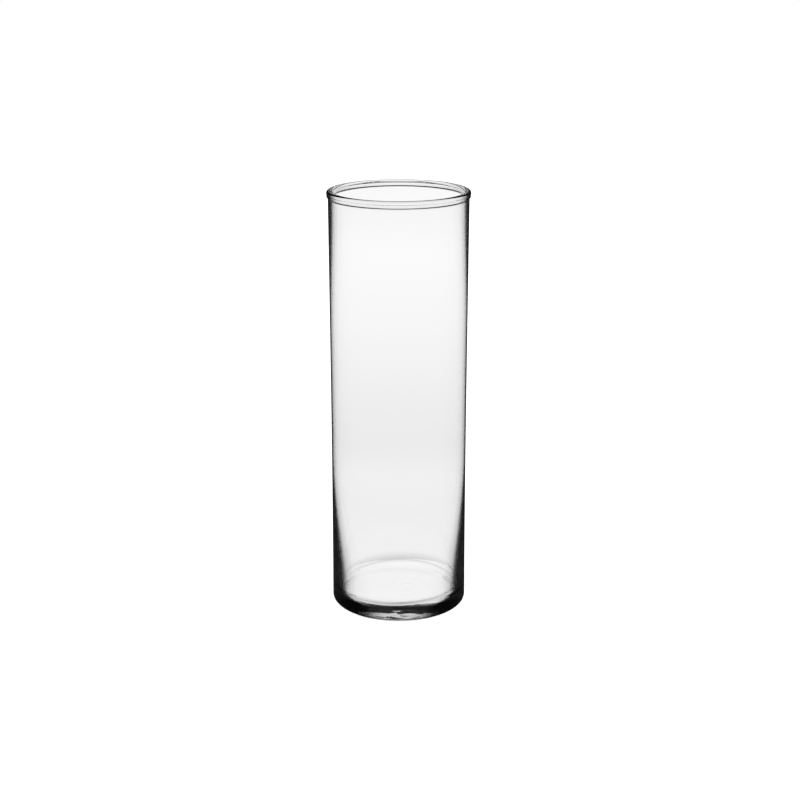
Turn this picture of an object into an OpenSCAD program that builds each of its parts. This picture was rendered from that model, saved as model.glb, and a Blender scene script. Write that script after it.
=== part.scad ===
// Clear glass cylinder vase: a straight body with a fire-polished rim, a fine groove under the rim's
// edge, a slightly flared neck, a thick floor that arches up a little, with a rounded inside corner,
// and a shallow hollow underneath so that it stands on a narrow ring.
// Millimetres, +Z up, origin at the centre of the ring it stands on.

/* [Body] */
// Overall height
height = 267; // [200:1:320]
// Outside diameter at the narrowest part of the body
waist_d = 85.3; // [84:0.1:86]
// Height of the narrowest part
waist_z = 110; // [95:1:130]
// Inside diameter of the straight bore
bore_d = 79.6; // [77.8:0.1:80]

/* [Rim] */
// Outside diameter of the rim
rim_d = 88.2; // [88:0.1:88.8]
// Radius of the rim's two round edges
rim_edge_r = 1.65; // [1.2:0.05:1.8]
// Outside diameter just under the groove
shoulder_d = 87.9; // [87.5:0.1:88]
// Depth below the top at which the shoulder starts to slope in
shoulder_h = 3.45; // [3.25:0.05:3.6]
// Radius of the groove round the rim
groove_r = 0.8; // [0.6:0.05:0.9]
// Depth below the top of the middle of the groove
groove_h = 2.7; // [2.6:0.05:2.8]
// Diameter at the bottom of the groove
groove_d = 87.3; // [87:0.1:87.4]
// Height of the rim down to the neck
rim_h = 5; // [4.5:0.1:8]
// Outside diameter of the neck under the rim
neck_d = 86.2; // [86:0.1:86.8]
// Height of the neck, rim included
neck_h = 10; // [9:0.5:14]

/* [Foot] */
// Outside diameter just above the heel
foot_d = 85.9; // [85.5:0.1:86.2]
// Radius of the outside heel
heel_r = 2.7; // [2:0.1:3]
// Thickness of the glass floor at its edge
floor_t = 9.1; // [6:0.1:12]
// How far the middle of the floor rises above its edge
floor_rise = 0.85; // [0.3:0.05:1.1]
// Inside radius where the floor meets the wall
corner_r = 5.3; // [3:0.1:7]
// Inside diameter at the top of that corner
corner_d = 77.6; // [76:0.1:77.7]
// Height at which the thickened lower wall becomes the straight bore
thick_z = 85; // [50:1:90]
// Diameter of the hollow under the floor
hollow_d = 79.3; // [60:0.1:79.5]
// Depth of the hollow under the floor
hollow_h = 2.05; // [1:0.05:2.5]

/* [Hidden] */
$fn = 180;
// Facets of the two large balls, whose shallow caps need to stay true
ball_fn = 1440;
// Room that a cutting shape is given past the face it cuts
over = 1;
bore_r = bore_d / 2;
rim_r = rim_d / 2;
neck_r = neck_d / 2;
foot_r = foot_d / 2;
shoulder_r = shoulder_d / 2;
neck_z = height - neck_h;
edge_z = height - rim_edge_r;
groove_z = height - groove_h;
shoulder_z = height - shoulder_h;
// Rounded inside corner, and the edge of the floor that it leaves
corner_z = floor_t + corner_r;
floor_r = corner_d / 2 - corner_r;
// Radius of a ball whose cap is this wide and this high
function cap_ball(r, h) = (r * r + h * h) / (2 * h);
floor_ball_r = cap_ball(floor_r, floor_rise);
hollow_ball_r = cap_ball(hollow_d / 2, hollow_h);

// Rim: two round edges with a flat between them, and a fine groove round the outside
module rim_section() {
    difference() {
        union() {
            translate([bore_r + rim_edge_r, edge_z]) circle(rim_edge_r);
            translate([rim_r - rim_edge_r, edge_z]) circle(rim_edge_r);
            translate([bore_r + rim_edge_r, edge_z]) square([rim_r - bore_r - 2 * rim_edge_r, rim_edge_r]);
            translate([bore_r, groove_z]) square([rim_r - bore_r, edge_z - groove_z]);
            translate([bore_r, shoulder_z]) square([shoulder_r - bore_r, groove_z - shoulder_z]);
        }
        translate([groove_d / 2 + groove_r, groove_z]) circle(groove_r);
    }
}

// Solid outline of the body from the heel to the shoulder, before it is hollowed
module body_outline() {
    translate([foot_r - heel_r, heel_r]) circle(heel_r);
    square([foot_r - heel_r, 2 * heel_r]);
    polygon([
        [0, heel_r],
        [foot_r, heel_r],
        [waist_d / 2, waist_z],
        [neck_r, neck_z],
        [neck_r, height - rim_h],
        [shoulder_r, shoulder_z],
        [0, shoulder_z]
    ]);
}

// Space inside: straight bore, slightly narrower lower part, rounded corner and arched floor
module inside_space() {
    difference() {
        union() {
            translate([-over, corner_z]) polygon([
                [0, 0],
                [over + corner_d / 2, 0],
                [over + bore_r, thick_z - corner_z],
                [over + bore_r, height + over - corner_z],
                [0, height + over - corner_z]
            ]);
            translate([floor_r, corner_z]) circle(corner_r);
            translate([-over, floor_t]) square([over + floor_r, 2 * corner_r]);
        }
        translate([0, floor_t + floor_rise - floor_ball_r]) circle(floor_ball_r, $fn = ball_fn);
    }
}

// Shallow hollow under the floor, which leaves a narrow ring to stand on
module under_hollow() {
    translate([0, hollow_h - hollow_ball_r]) circle(hollow_ball_r, $fn = ball_fn);
}

// The vase is one piece of glass
module glass_vase() {
    color("aliceblue", 0.35) rotate_extrude() {
        difference() {
            body_outline();
            inside_space();
            under_hollow();
        }
        rim_section();
    }
}

glass_vase();
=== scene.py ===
"""Clear glass cylinder vase on a plain white sweep, seen from a little above in soft studio light."""

import math

import bmesh
import bpy
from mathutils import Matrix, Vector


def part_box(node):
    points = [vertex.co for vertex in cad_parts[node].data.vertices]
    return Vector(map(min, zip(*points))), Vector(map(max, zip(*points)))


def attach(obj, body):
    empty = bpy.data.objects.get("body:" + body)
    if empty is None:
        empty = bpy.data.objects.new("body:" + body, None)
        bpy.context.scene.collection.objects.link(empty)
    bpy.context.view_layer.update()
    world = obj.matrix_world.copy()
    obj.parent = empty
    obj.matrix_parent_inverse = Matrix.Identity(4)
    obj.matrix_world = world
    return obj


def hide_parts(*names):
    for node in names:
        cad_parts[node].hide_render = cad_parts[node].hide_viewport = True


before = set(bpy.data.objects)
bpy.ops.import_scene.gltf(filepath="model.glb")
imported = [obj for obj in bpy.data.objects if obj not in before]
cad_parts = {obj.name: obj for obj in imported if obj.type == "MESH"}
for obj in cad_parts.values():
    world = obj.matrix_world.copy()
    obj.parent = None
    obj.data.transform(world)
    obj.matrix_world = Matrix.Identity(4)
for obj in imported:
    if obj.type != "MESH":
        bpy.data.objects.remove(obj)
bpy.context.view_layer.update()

MM = 0.001
BOX_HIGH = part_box("glass_vase")[1]

# ---------------------------------------------------------------- sizes, as in the CAD part
HEIGHT = BOX_HIGH[2]
RIM_R = BOX_HIGH[0]
BORE_R = 39.8 * MM
RIM_EDGE_R = 1.65 * MM
SHOULDER_R = 43.95 * MM
SHOULDER_H = 3.45 * MM
GROOVE_EDGE_R = 0.8 * MM
GROOVE_H = 2.7 * MM
GROOVE_R = 43.65 * MM
RIM_H = 5 * MM
NECK_R = 43.1 * MM
NECK_H = 10 * MM
WAIST_R = 42.65 * MM
WAIST_Z = 110 * MM
FOOT_R = 42.95 * MM
HEEL_R = 2.7 * MM
FLOOR_T = 9.1 * MM
FLOOR_RISE = 0.85 * MM
CORNER_R = 5.3 * MM
CORNER_TOP_R = 38.8 * MM
THICK_Z = 85 * MM
HOLLOW_R = 39.65 * MM
HOLLOW_H = 2.05 * MM
CORNER_Z = FLOOR_T + CORNER_R
FLOOR_R = CORNER_TOP_R - CORNER_R

# ---------------------------------------------------------------- marks of the moulding
# The floor is thicker towards +X by this slope
FLOOR_TILT = 0.03
# Faint ring that the plunger leaves on the floor
PLUNGER_R = 32.6 * MM
PLUNGER_RISE = 0.05 * MM
PLUNGER_HALF_WIDTH = 0.45 * MM
# Faint swirl near the middle of the floor
SWIRL_X = 4 * MM
SWIRL_Y = -9 * MM
SWIRL_RISE = 0.06 * MM
SWIRL_PITCH = 1.1 * MM
SWIRL_EYE = 4 * MM
SWIRL_REACH = 16 * MM
# The floor's marks fade out over this height, from just above the floor's edge
MARK_START = FLOOR_T + 2 * MM
MARK_FADE = 14 * MM
# Fine raised seams round the foot
SEAM_HEIGHTS = (7.5 * MM, 13.5 * MM)
SEAM_RISE = 0.05 * MM
SEAM_HALF_WIDTH = 0.35 * MM
# The rings of the mesh lie closer together below this height
SEAM_TOP = 20 * MM
# Short ribs under the foot, between these two radii
KNURLS = 96
KNURL_DEPTH = 0.25 * MM
KNURL_IN_R = 38.6 * MM
KNURL_OUT_R = 42.7 * MM
KNURL_FADE = 0.8 * MM
# Slow waviness of the bore, which ends below the rim
WAVE_RISE = 0.03 * MM
WAVE_FADE = 20 * MM
WAVE_LOBES = 3
WAVE_TWIST = 19 * MM
WAVE_PITCH = 31 * MM
# Faces round the vase
TURNS = 4 * KNURLS

# ---------------------------------------------------------------- looks of the glass
IOR = 1.52
# Painted shade on the outside of the glass: the level left clear, by how nearly edge on the eye meets it
EDGE_SHADE_STOPS = [
    (0.45, 1.0), (0.58, 0.95), (0.65, 0.8), (0.7, 0.66),
    (0.735, 0.42), (0.77, 0.14), (0.82, 0.03), (0.9, 0.01),
]
# The painted edge shade is widened by letting the glass count as more edge on than it is, by these amounts:
# all over, in the thick lower wall, at the heel and near the rim, each change starting and ending at a height
EDGE_BIAS = -0.05
LOWER_BIAS = 0.33
LOWER_FROM, LOWER_TO = 105 * MM, 15 * MM
HEEL_BIAS = 0.3
HEEL_FROM, HEEL_TO = 14 * MM, 7 * MM
RIM_BIAS = 0.14
RIM_FROM, RIM_TO = 185 * MM, 262 * MM
# Only faces that look outward get the painted shade, by the cosine between the face and the outward direction
OUTWARD_FROM, OUTWARD_TO = 0.05, 0.3
# Looked at from overhead the painted shade fades out, between these values of Facing against +Z
OVERHEAD_FROM, OVERHEAD_TO = 0.5, 0.25
# Stippled ring to stand on, and slow ripples left by the mould
STIPPLE_TOP = 0.8 * MM
STIPPLE_EDGE = 0.6 * MM
STIPPLE_SCALE = 900
STIPPLE_GRAIN = (0.4, 0.65)
STIPPLE_SMOOTH = 0.04
STIPPLE_ROUGH = 0.35
RIPPLE_SCALE = 55
RIPPLE_HEIGHT = 0.03 * MM

# ---------------------------------------------------------------- light levels of the studio
# Sweep behind the glass, by the sine of the angle at which the light path looks down on it
SWEEP_STOPS = [
    (0.0, 0.94), (0.155, 0.94), (0.19, 1.0), (0.2, 1.0), (0.24, 0.97),
    (0.29, 0.9), (0.318, 0.868), (0.35, 0.92), (0.38, 0.9), (0.43, 0.93),
    (0.5, 0.88), (0.64, 0.8), (0.87, 0.66), (1.0, 0.5),
]
# What the outside of the glass mirrors, the dark room above the sweep, and the lit ceiling that only light
# bent round inside the floor reaches
MIRROR_LEVEL = 0.03
DARK_LEVEL = 0.01
CEILING_LEVEL = 1.0
# Degrees above the horizon between which the dark room begins, for light that passes straight through the
# glass and for light that is mirrored inside it
DARK_STRAIGHT = (9.5, 11.5)
DARK_TURNED = (3, 8)
BACKDROP_LEVEL = 1.0
FLOOR_SIZE = 6
FLOOR_DROP = 0.2 * MM
FLOOR_COLOUR = 0.8
FLOOR_GLOW = 0.85
# Enough for light that is mirrored many times inside the thick floor
BOUNCES = 32

# ---------------------------------------------------------------- camera
CAM_DISTANCE = 0.9287
CAM_HEIGHT = 0.4176
CAM_ASIDE = 0.0008
CAM_PITCH = math.radians(17.0)
CAM_LENS = 69.15


def add_camera():
    data = bpy.data.cameras.new("camera")
    data.lens = CAM_LENS
    data.sensor_width = 36
    camera = bpy.data.objects.new("camera", data)
    bpy.context.scene.collection.objects.link(camera)
    camera.location = (CAM_ASIDE, -CAM_DISTANCE, CAM_HEIGHT)
    camera.rotation_euler = (math.pi / 2 - CAM_PITCH, 0, 0)
    bpy.context.scene.camera = camera


# ---------------------------------------------------------------- glass shape
def soft(t):
    """0 to 1 with soft ends, for t from 0 to 1."""
    t = min(max(t, 0), 1)
    return t * t * (3 - 2 * t)


def arc(cx, cz, radius, start, end, steps):
    """Points on a circle of the section, from start to end degrees, both ends included."""
    points = []
    for i in range(steps + 1):
        a = math.radians(start + (end - start) * i / steps)
        points.append((cx + radius * math.cos(a), cz + radius * math.sin(a)))
    return points


def spread(a, b, steps):
    """Evenly spread values from a to b, both ends included."""
    return [a + (b - a) * i / steps for i in range(steps + 1)]


def bend(a, b, steps):
    """Points from a to b on a soft S, upright at both ends."""
    return [
        (a[0] + (b[0] - a[0]) * soft(i / steps), a[1] + (b[1] - a[1]) * i / steps) for i in range(steps + 1)
    ]


def cap(radius, low, rise, steps):
    """Points on a shallow cap from its middle to its edge at the given radius."""
    ball = (radius**2 + rise**2) / (2 * rise)
    points = []
    for i in range(steps + 1):
        r = radius * i / steps
        points.append((r, low + rise - ball + math.sqrt(ball**2 - r**2)))
    return points


def side(z):
    """Outside radius of the body at height z: a soft waist between the foot and the neck."""
    top_z = HEIGHT - NECK_H
    if z < WAIST_Z:
        t = (WAIST_Z - z) / (WAIST_Z - HEEL_R)
        return WAIST_R + (FOOT_R - WAIST_R) * t * t
    t = (z - WAIST_Z) / (top_z - WAIST_Z)
    return WAIST_R + (NECK_R - WAIST_R) * t**1.5


def seam(z):
    """How far the seams round the foot stand out at height z."""
    return sum(SEAM_RISE * math.exp(-(((z - at) / SEAM_HALF_WIDTH) ** 2)) for at in SEAM_HEIGHTS)


def section():
    """Section of the glass, from the middle of the floor up the inside, over the rim and down to the foot."""
    edge_z = HEIGHT - RIM_EDGE_R
    groove_z = HEIGHT - GROOVE_H
    groove_x = GROOVE_R + GROOVE_EDGE_R
    upper = math.degrees(math.acos((RIM_R - groove_x) / GROOVE_EDGE_R))
    lower = 360 - math.degrees(math.acos((SHOULDER_R - groove_x) / GROOVE_EDGE_R))
    floor = cap(FLOOR_R, FLOOR_T, FLOOR_RISE, 56)
    corner = arc(FLOOR_R, CORNER_Z, CORNER_R, -90, 0, 22)[1:]
    inside = bend((CORNER_TOP_R, CORNER_Z), (BORE_R, THICK_Z), 24)[1:]
    inside += [(BORE_R, z) for z in spread(THICK_Z, edge_z - 2 * MM, 24)[1:]]
    rim = arc(BORE_R + RIM_EDGE_R, edge_z, RIM_EDGE_R, 180, 90, 14)
    rim += arc(RIM_R - RIM_EDGE_R, edge_z, RIM_EDGE_R, 90, 0, 14)
    rim += arc(groove_x, groove_z, GROOVE_EDGE_R, upper, lower, 14)
    rim += bend((SHOULDER_R, HEIGHT - SHOULDER_H), (side(HEIGHT - RIM_H), HEIGHT - RIM_H), 14)
    heights = spread(HEIGHT - RIM_H - 0.5 * MM, SEAM_TOP, 34)
    heights += spread(SEAM_TOP, HEEL_R, 60)[1:-1]
    outside = [(side(z) + seam(z), z) for z in heights]
    heel = arc(FOOT_R - HEEL_R, HEEL_R, HEEL_R, 0, -90, 16)
    hollow = cap(HOLLOW_R, 0, HOLLOW_H, 40)[::-1]
    return floor + corner + inside + rim + outside + heel + hollow


def floor_relief(r, x, y):
    """Tilt, plunger ring and swirl of the floor, as a change of height."""
    turn = math.atan2(y - SWIRL_Y, x - SWIRL_X)
    reach = math.hypot(x - SWIRL_X, y - SWIRL_Y)
    swirl = math.sin(turn + reach / SWIRL_PITCH) * soft(1 - reach / SWIRL_REACH) * soft(reach / SWIRL_EYE)
    ring = math.exp(-(((r - PLUNGER_R) / PLUNGER_HALF_WIDTH) ** 2))
    return FLOOR_TILT * x + PLUNGER_RISE * ring + SWIRL_RISE * swirl


def knurl(r, angle):
    """Height of the gaps between the ribs under the foot."""
    near = soft((r - KNURL_IN_R) / KNURL_FADE) * soft((KNURL_OUT_R - r) / KNURL_FADE)
    uneven = 0.65 + 0.35 * math.sin(7 * angle + 1) * math.sin(11 * angle)
    return KNURL_DEPTH * near * uneven * (0.5 - 0.5 * math.cos(KNURLS * angle))


def place(r, z, angle, inner):
    """The point of the glass at this place of the section and this turn, with the marks of the moulding."""
    x, y = r * math.cos(angle), r * math.sin(angle)
    if inner:
        hold = 1 - soft((z - MARK_START) / MARK_FADE)
        wave = WAVE_RISE * math.sin(WAVE_LOBES * angle + z / WAVE_TWIST) * math.sin(z / WAVE_PITCH + 1)
        wave *= 1 - hold
        wave *= soft((HEIGHT - z) / WAVE_FADE)
        z += floor_relief(r, x, y) * hold
        x += wave * math.cos(angle)
        y += wave * math.sin(angle)
    elif z < HEEL_R:
        z += knurl(r, angle)
    return x, y, z


def lathe(name, points, turns):
    """A closed mesh of the section turned about Z. The first and last points lie on the axis."""
    top = max(range(len(points)), key=lambda i: points[i][1])
    bm = bmesh.new()
    first = bm.verts.new(place(0, points[0][1], 0, True))
    rings = []
    for k, (r, z) in enumerate(points[1:-1], 1):
        ring = []
        for i in range(turns):
            ring.append(bm.verts.new(place(r, z, 2 * math.pi * i / turns, k < top)))
        rings.append(ring)
    last = bm.verts.new(place(0, points[-1][1], 0, False))
    for i in range(turns):
        j = (i + 1) % turns
        bm.faces.new((first, rings[0][i], rings[0][j]))
        for low, high in zip(rings[:-1], rings[1:]):
            bm.faces.new((low[i], high[i], high[j], low[j]))
        bm.faces.new((rings[-1][i], last, rings[-1][j]))
    bmesh.ops.recalc_face_normals(bm, faces=bm.faces)
    mesh = bpy.data.meshes.new(name)
    bm.to_mesh(mesh)
    bm.free()
    for polygon in mesh.polygons:
        polygon.use_smooth = True
    piece = bpy.data.objects.new(name, mesh)
    bpy.context.scene.collection.objects.link(piece)
    return piece


# ---------------------------------------------------------------- shader nodes
class Graph:
    """Short calls for adding nodes to a material or a world."""

    def __init__(self, tree):
        self.nodes = tree.nodes
        self.links = tree.links

    def put(self, socket, value):
        if isinstance(value, bpy.types.NodeSocket):
            self.links.new(value, socket)
        else:
            socket.default_value = value

    def math(self, operation, *values):
        node = self.nodes.new("ShaderNodeMath")
        node.operation = operation
        for socket, value in zip(node.inputs, values):
            self.put(socket, value)
        return node.outputs[0]

    def step(self, value, low, high):
        """0 below low and 1 above high, with a soft change between them. High may be the smaller."""
        node = self.nodes.new("ShaderNodeMapRange")
        node.interpolation_type = "SMOOTHSTEP"
        self.put(node.inputs["Value"], value)
        self.put(node.inputs["From Min"], low)
        self.put(node.inputs["From Max"], high)
        return node.outputs["Result"]

    def mix(self, factor, a, b):
        node = self.nodes.new("ShaderNodeMix")
        node.data_type = "FLOAT"
        self.put(node.inputs["Factor"], factor)
        self.put(node.inputs["A"], a)
        self.put(node.inputs["B"], b)
        return node.outputs["Result"]

    def ramp(self, value, stops):
        """A curve through (position, level) stops."""
        node = self.nodes.new("ShaderNodeValToRGB")
        ramp = node.color_ramp
        while len(ramp.elements) < len(stops):
            ramp.elements.new(0.5)
        for element, (position, level) in zip(ramp.elements, stops):
            element.position = position
            element.color = (level, level, level, 1)
        self.put(node.inputs["Fac"], value)
        return node.outputs["Color"]


# ---------------------------------------------------------------- glass material
def outward_direction(graph, spot):
    """The level direction straight out from the axis, and the distance from it."""
    flat = graph.nodes.new("ShaderNodeVectorMath")
    flat.operation = "MULTIPLY"
    graph.put(flat.inputs[0], spot)
    flat.inputs[1].default_value = (1, 1, 0)
    outward = graph.nodes.new("ShaderNodeVectorMath")
    outward.operation = "NORMALIZE"
    graph.put(outward.inputs[0], flat.outputs[0])
    reach = graph.nodes.new("ShaderNodeVectorMath")
    reach.operation = "LENGTH"
    graph.put(reach.inputs[0], flat.outputs[0])
    return outward.outputs["Vector"], reach.outputs["Value"]


def facing(graph, direction):
    """0 where the eye looks along the direction, 1 where it looks across it."""
    weight = graph.nodes.new("ShaderNodeLayerWeight")
    weight.inputs["Blend"].default_value = 0.5
    graph.put(weight.inputs["Normal"], direction)
    return weight.outputs["Facing"]


def painted_edge_shade(graph, outward, height):
    """Painted shade in the base colour: clear square on and dark edge on, for faces that look outward."""
    along = graph.nodes.new("ShaderNodeVectorMath")
    along.operation = "DOT_PRODUCT"
    graph.put(along.inputs[0], graph.nodes.new("ShaderNodeNewGeometry").outputs["Normal"])
    graph.put(along.inputs[1], outward)
    outside = graph.step(along.outputs["Value"], OUTWARD_FROM, OUTWARD_TO)

    bias = graph.math("MULTIPLY_ADD", graph.step(height, LOWER_FROM, LOWER_TO), LOWER_BIAS, EDGE_BIAS)
    bias = graph.math("MULTIPLY_ADD", graph.step(height, RIM_FROM, RIM_TO), RIM_BIAS, bias)
    bias = graph.math("MULTIPLY_ADD", graph.step(height, HEEL_FROM, HEEL_TO), HEEL_BIAS, bias)
    clear = graph.ramp(graph.math("ADD", facing(graph, outward), bias), EDGE_SHADE_STOPS)

    upright = graph.nodes.new("ShaderNodeCombineXYZ")
    upright.inputs["Z"].default_value = 1
    overhead = graph.step(facing(graph, upright.outputs[0]), OVERHEAD_FROM, OVERHEAD_TO)
    clear = graph.mix(overhead, clear, 1.0)
    through = graph.mix(outside, 1.0, clear)
    # The shader lets through the square root of its base colour at each face
    return graph.math("MULTIPLY", through, through)


def stipple(graph, spot, reach, height):
    """Roughness: none, but for a fine stipple on the ring that the vase stands on."""
    grain = graph.nodes.new("ShaderNodeTexNoise")
    grain.inputs["Scale"].default_value = STIPPLE_SCALE
    grain.inputs["Detail"].default_value = 2
    graph.put(grain.inputs["Vector"], spot)
    dots = graph.mix(graph.step(grain.outputs["Fac"], *STIPPLE_GRAIN), STIPPLE_SMOOTH, STIPPLE_ROUGH)
    ring = graph.step(reach, HOLLOW_R - STIPPLE_EDGE, HOLLOW_R)
    under = graph.math("MULTIPLY", ring, graph.step(height, STIPPLE_TOP, 0.2 * STIPPLE_TOP))
    return graph.math("MULTIPLY", under, dots)


def ripples(graph, spot):
    """Normal with the slow ripples of moulded glass."""
    wave = graph.nodes.new("ShaderNodeTexNoise")
    wave.inputs["Scale"].default_value = RIPPLE_SCALE
    wave.inputs["Detail"].default_value = 1
    graph.put(wave.inputs["Vector"], spot)
    bump = graph.nodes.new("ShaderNodeBump")
    bump.inputs["Strength"].default_value = 1
    bump.inputs["Distance"].default_value = RIPPLE_HEIGHT
    graph.put(bump.inputs["Height"], wave.outputs["Fac"])
    return bump.outputs["Normal"]


def clear_glass():
    """Clear soda glass with painted shade in its base colour where the eye meets it edge on, widened low
    down, at the heel and near the rim.
    """
    material = bpy.data.materials.new("clear_glass")
    material.use_nodes = True
    graph = Graph(material.node_tree)
    shader = material.node_tree.nodes["Principled BSDF"]
    shader.inputs["IOR"].default_value = IOR
    shader.inputs["Transmission Weight"].default_value = 1

    spot = graph.nodes.new("ShaderNodeTexCoord").outputs["Object"]
    split = graph.nodes.new("ShaderNodeSeparateXYZ")
    graph.put(split.inputs[0], spot)
    height = split.outputs["Z"]
    outward, reach = outward_direction(graph, spot)
    # The painted edge shade goes into the base colour
    graph.put(shader.inputs["Base Color"], painted_edge_shade(graph, outward, height))
    graph.put(shader.inputs["Roughness"], stipple(graph, spot, reach, height))
    graph.put(shader.inputs["Normal"], ripples(graph, spot))
    return material


# ---------------------------------------------------------------- studio
def add_world():
    """White sweep behind the glass and dark room above it, which with the painted edge shade of the glass
    draw the edges of clear glass.
    """
    world = bpy.data.worlds.new("studio")
    world.use_nodes = True
    bpy.context.scene.world = world
    world.node_tree.nodes.clear()
    graph = Graph(world.node_tree)
    split = graph.nodes.new("ShaderNodeSeparateXYZ")
    graph.put(split.inputs[0], graph.nodes.new("ShaderNodeTexCoord").outputs["Generated"])
    rise = split.outputs["Z"]

    def below(limits):
        """1 below both angles, 0 above both, and a soft change between them."""
        low, high = (math.sin(math.radians(angle)) for angle in limits)
        return graph.step(rise, high, low)

    sweep = graph.ramp(graph.math("MULTIPLY", rise, -1.0), SWEEP_STOPS)
    path = graph.nodes.new("ShaderNodeLightPath").outputs
    crossed = path["Transmission Depth"]
    turned = graph.math("GREATER_THAN", path["Glossy Depth"], 0.5)
    # Light that has crossed the surface of the glass three times or more
    deep = graph.math("GREATER_THAN", crossed, 2.5)
    room = graph.mix(graph.math("MULTIPLY", turned, deep), DARK_LEVEL, CEILING_LEVEL)
    low = graph.mix(turned, below(DARK_STRAIGHT), below(DARK_TURNED))
    behind = graph.mix(low, room, sweep)
    light = graph.mix(graph.math("GREATER_THAN", crossed, 0.5), MIRROR_LEVEL, behind)
    light = graph.mix(path["Is Diffuse Ray"], light, BACKDROP_LEVEL)
    light = graph.mix(path["Is Camera Ray"], light, BACKDROP_LEVEL)
    background = graph.nodes.new("ShaderNodeBackground")
    graph.put(background.inputs["Color"], light)
    output = graph.nodes.new("ShaderNodeOutputWorld")
    graph.put(output.inputs["Surface"], background.outputs[0])


def add_floor():
    """Plain white floor, just under the vase. Light that the glass bends passes it and meets the sweep."""
    mesh = bpy.data.meshes.new("sweep")
    corners = [(x * FLOOR_SIZE, y * FLOOR_SIZE, 0) for x, y in ((-1, -1), (1, -1), (1, 1), (-1, 1))]
    mesh.from_pydata(corners, [], [(0, 1, 2, 3)])
    floor = bpy.data.objects.new("sweep", mesh)
    bpy.context.scene.collection.objects.link(floor)
    floor.location.z = -FLOOR_DROP
    material = bpy.data.materials.new("sweep")
    material.use_nodes = True
    shader = material.node_tree.nodes["Principled BSDF"]
    shader.inputs["Base Color"].default_value = (FLOOR_COLOUR, FLOOR_COLOUR, FLOOR_COLOUR, 1)
    shader.inputs["Roughness"].default_value = 1
    shader.inputs["Emission Color"].default_value = (1, 1, 1, 1)
    shader.inputs["Emission Strength"].default_value = FLOOR_GLOW
    mesh.materials.append(material)
    floor.visible_transmission = False
    floor.visible_glossy = False


add_camera()
scene = bpy.context.scene
scene.view_settings.view_transform = "Standard"
scene.cycles.max_bounces = BOUNCES
scene.cycles.transmission_bounces = BOUNCES
scene.cycles.glossy_bounces = BOUNCES
add_world()
add_floor()

vase = lathe("glass_vase_body", section(), TURNS)
vase.data.materials.append(clear_glass())
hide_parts("glass_vase")
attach(vase, "root")
